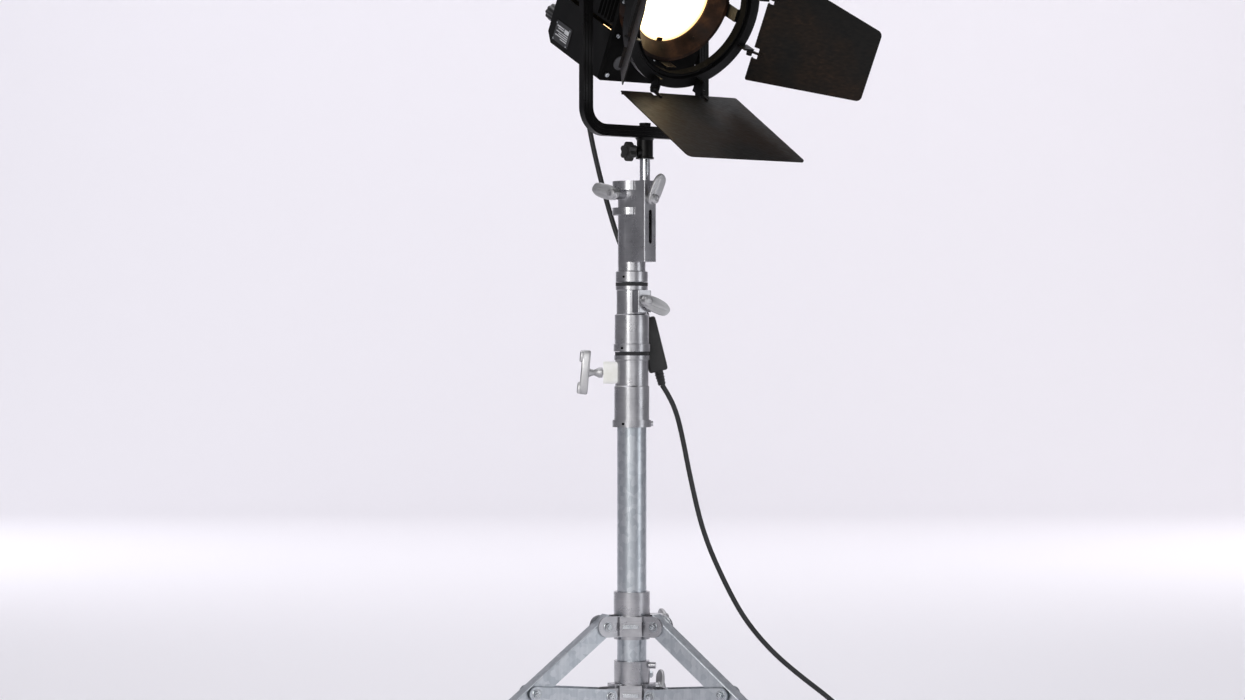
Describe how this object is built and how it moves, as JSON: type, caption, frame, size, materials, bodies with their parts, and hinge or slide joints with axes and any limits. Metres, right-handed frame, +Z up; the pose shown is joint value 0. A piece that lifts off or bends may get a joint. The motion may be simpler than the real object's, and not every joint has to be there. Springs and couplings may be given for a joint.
{
  "type": "fresnel spotlight",
  "caption": "Black fresnel spotlight with barndoors and a yoke on a folding aluminium combo stand, with an in-line switch and mains lead",
  "frame": {"origin": "on the column axis at floor level", "axes": "+Z up along the column, -Y towards the side that the lamp faces, +X to the right of it"},
  "size_m": [1.0836, 0.9158, 1.4909],
  "materials": {
    "satin_cast": "satin machined casting",
    "galvanised": "bright zinc",
    "plated_steel": "zinc plated, lightly worn",
    "black_rubber": "matte",
    "black_plastic": "moulded",
    "white_nylon": "moulded",
    "black_paint": "satin heat-proof paint",
    "heat_brown": "heat-tinted paint",
    "lens_glass": "clear, lit from behind",
    "label_print": "printed foil",
    "bright_reflector": "polished",
    "lamp_glow": "lit",
    "dark_steel": "plain",
    "cord_pvc": "round black cable"
  },
  "bodies": {
    "stand": {"base_tube": "galvanised", "base_plug": "black_plastic", "column_casting": "satin_cast", "column_bumper": "black_rubber", "nylon_boss": "white_nylon", "lower_spider": "satin_cast", "head_lead": "cord_pvc", "inline_box": "black_plastic", "mains_lead": "cord_pvc", "cord_coil": "cord_pvc", "plug": "black_plastic"},
    "column_knob": {"column_t_knob": "satin_cast"},
    "lower_wing": {"lower_wing": "satin_cast"},
    "spider": {"upper_spider": "satin_cast"},
    "upper_wing": {"upper_wing": "satin_cast"},
    "riser_1": {"riser_1_tube": "galvanised", "riser_1_casting": "satin_cast", "riser_1_bumper": "black_rubber"},
    "riser_1_wing": {"riser_1_wing": "satin_cast"},
    "riser_2": {"riser_2_tube": "galvanised", "combo_head": "satin_cast"},
    "receiver_wing": {"receiver_wing": "satin_cast"},
    "pin_wing": {"pin_wing": "satin_cast"},
    "pin": {"combo_pin": "plated_steel"},
    "yoke": {"yoke": "black_paint", "spigot_socket": "black_paint"},
    "yoke_clamp": {"yoke_clamp_knob": "black_plastic"},
    "tilt_lock": {"tilt_lock_knob": "black_plastic"},
    "head": {"base_box": "black_paint", "housing": "black_paint", "rear_cover": "black_paint", "front_frame": "black_paint", "lens_ring": "heat_brown", "fresnel_lens": "lens_glass", "lens_clips": "heat_brown", "accessory_brackets": "black_paint", "label_plate": "label_print", "trunnions": "black_paint", "cable_gland": "black_plastic", "barndoor_carrier": "black_paint"},
    "latch": {"bracket_latch": "black_paint"},
    "focus_knob": {"focus_knob": "black_plastic"},
    "carriage": {"lamp_carriage": "dark_steel", "lamp": "lamp_glow", "reflector": "bright_reflector"},
    "barndoor": {"barndoor_ring": "black_paint"},
    "rocker_body": {"rocker": "black_plastic"},
    "leg_1": {"leg_1": "galvanised", "foot_1": "black_rubber"},
    "brace_1": {"brace_1": "galvanised"},
    "leg_2": {"leg_2": "galvanised", "foot_2": "black_rubber"},
    "brace_2": {"brace_2": "galvanised"},
    "leg_3": {"leg_3": "galvanised", "foot_3": "black_rubber"},
    "brace_3": {"brace_3": "galvanised"},
    "leaf_right": {"leaf_right": "black_paint"},
    "leaf_bottom": {"leaf_bottom": "heat_brown"},
    "leaf_left": {"leaf_left": "black_paint"},
    "leaf_top": {"leaf_top": "black_paint"}
  },
  "joints": [
    {"name": "tripod_fold", "type": "slide", "parent": "stand", "child": "spider", "axis": [0, 0, 1], "range_m": [0, 0.17537]},
    {"name": "leg_1_hinge", "type": "hinge", "parent": "spider", "child": "leg_1", "pos_m": [0.00256, 0.04893, 0.355], "axis": [-0.9986, 0.0523, 0], "range_deg": [-1, 53]},
    {"name": "brace_1_hinge", "type": "hinge", "parent": "stand", "child": "brace_1", "pos_m": [0.00241, 0.04594, 0.248], "axis": [0.9986, -0.0523, 0], "range_deg": [-1, 84.67]},
    {"name": "leg_2_hinge", "type": "hinge", "parent": "spider", "child": "leg_2", "pos_m": [-0.04366, -0.02225, 0.355], "axis": [0.454, -0.891, 0], "range_deg": [-1, 53]},
    {"name": "brace_2_hinge", "type": "hinge", "parent": "stand", "child": "brace_2", "pos_m": [-0.04099, -0.02088, 0.248], "axis": [-0.454, 0.891, 0], "range_deg": [-1, 84.67]},
    {"name": "leg_3_hinge", "type": "hinge", "parent": "spider", "child": "leg_3", "pos_m": [0.04109, -0.02669, 0.355], "axis": [0.5446, 0.8387, 0], "range_deg": [-1, 53]},
    {"name": "brace_3_hinge", "type": "hinge", "parent": "stand", "child": "brace_3", "pos_m": [0.03858, -0.02505, 0.248], "axis": [-0.5446, -0.8387, 0], "range_deg": [-1, 84.67]},
    {"name": "riser_1_lift", "type": "slide", "parent": "stand", "child": "riser_1", "axis": [0, 0, 1], "range_m": [0, 0.4]},
    {"name": "riser_2_lift", "type": "slide", "parent": "riser_1", "child": "riser_2", "axis": [0, 0, 1], "range_m": [0, 0.45]},
    {"name": "pin_drop", "type": "slide", "parent": "riser_2", "child": "pin", "axis": [0, 0, 1], "range_m": [-0.01, 0]},
    {"name": "yoke_pan", "type": "hinge", "parent": "pin", "child": "yoke", "pos_m": [0.02015, -0.02086, 1.09], "axis": [0, 0, 1], "continuous": true},
    {"name": "head_tilt", "type": "hinge", "parent": "yoke", "child": "head", "pos_m": [0.02015, -0.02086, 1.35], "axis": [-0.809, -0.5878, 0], "range_deg": [-17.5, 87.5], "deforming": ["head_lead"]},
    {"name": "yoke_clamp_turn", "type": "hinge", "parent": "yoke", "child": "yoke_clamp", "pos_m": [0.00073, -0.03497, 1.086], "axis": [-0.809, -0.5878, 0], "continuous": true},
    {"name": "tilt_lock_turn", "type": "hinge", "parent": "yoke", "child": "tilt_lock", "pos_m": [0.12127, 0.05261, 1.35], "axis": [0.809, 0.5878, 0], "continuous": true},
    {"name": "column_knob_turn", "type": "hinge", "parent": "stand", "child": "column_knob", "pos_m": [-0.05, 0, 0.746], "axis": [-1, 0, 0], "continuous": true},
    {"name": "upper_wing_turn", "type": "hinge", "parent": "spider", "child": "upper_wing", "pos_m": [0.04455, 0.0227, 0.363], "axis": [0.891, 0.454, 0], "continuous": true},
    {"name": "lower_wing_turn", "type": "hinge", "parent": "stand", "child": "lower_wing", "pos_m": [0.0392, 0.01998, 0.256], "axis": [0.891, 0.454, 0], "continuous": true},
    {"name": "riser_wing_turn", "type": "hinge", "parent": "riser_1", "child": "riser_1_wing", "pos_m": [0.02014, -0.03223, 0.856], "axis": [0.5299, -0.848, 0], "continuous": true},
    {"name": "receiver_wing_turn", "type": "hinge", "parent": "riser_2", "child": "receiver_wing", "pos_m": [-0.02446, -0.02362, 1.022], "axis": [-0.7193, -0.6947, 0], "continuous": true},
    {"name": "pin_wing_turn", "type": "hinge", "parent": "riser_2", "child": "pin_wing", "pos_m": [0.02848, -0.02949, 1.014], "axis": [0.6947, -0.7193, 0], "continuous": true},
    {"name": "focus_slide", "type": "slide", "parent": "head", "child": "carriage", "axis": [0.5214, -0.7176, -0.4617], "range_m": [-0.022, 0.028]},
    {"name": "focus_knob_turn", "type": "hinge", "parent": "head", "child": "focus_knob", "pos_m": [-0.11205, 0.0488, 1.30254], "axis": [-0.5214, 0.7176, 0.4617], "range_deg": [-200, 255]},
    {"name": "barndoor_turn", "type": "hinge", "parent": "head", "child": "barndoor", "pos_m": [0.09001, -0.11702, 1.28813], "axis": [0.5214, -0.7176, -0.4617], "continuous": true},
    {"name": "leaf_right_fold", "type": "hinge", "parent": "barndoor", "child": "leaf_right", "pos_m": [0.19261, -0.06769, 1.27751], "axis": [0.2714, -0.3736, 0.887], "range_deg": [-69, 55]},
    {"name": "leaf_bottom_fold", "type": "hinge", "parent": "barndoor", "child": "leaf_bottom", "pos_m": [0.07025, -0.08982, 1.17373], "axis": [0.809, 0.5878, 0], "range_deg": [-23, 70]},
    {"name": "leaf_left_fold", "type": "hinge", "parent": "barndoor", "child": "leaf_left", "pos_m": [0.01139, -0.19936, 1.27751], "axis": [-0.2714, 0.3736, -0.887], "range_deg": [-69, 55]},
    {"name": "leaf_top_fold", "type": "hinge", "parent": "barndoor", "child": "leaf_top", "pos_m": [0.13376, -0.17723, 1.38129], "axis": [-0.809, -0.5878, 0], "range_deg": [-38, 70]},
    {"name": "latch_lift", "type": "hinge", "parent": "head", "child": "latch", "pos_m": [0.10019, -0.13104, 1.39072], "axis": [-0.809, -0.5878, 0], "range_deg": [0, 75]},
    {"name": "rocker_tip", "type": "hinge", "parent": "stand", "child": "rocker_body", "pos_m": [0.03261, 0.058, 0.78636], "axis": [0.9704, 0, 0.2414], "range_deg": [-6, 6]}
  ],
  "couplings": [
    {"joint": "leg_1_hinge", "follows": "tripod_fold", "rad_per_m": 5.1752},
    {"joint": "brace_1_hinge", "follows": "tripod_fold", "rad_per_m": 8.3268},
    {"joint": "leg_2_hinge", "follows": "tripod_fold", "rad_per_m": 5.1752},
    {"joint": "brace_2_hinge", "follows": "tripod_fold", "rad_per_m": 8.3268},
    {"joint": "leg_3_hinge", "follows": "tripod_fold", "rad_per_m": 5.1752},
    {"joint": "brace_3_hinge", "follows": "tripod_fold", "rad_per_m": 8.3268},
    {"joint": "focus_knob_turn", "follows": "focus_slide", "rad_per_m": 157.08}
  ]
}
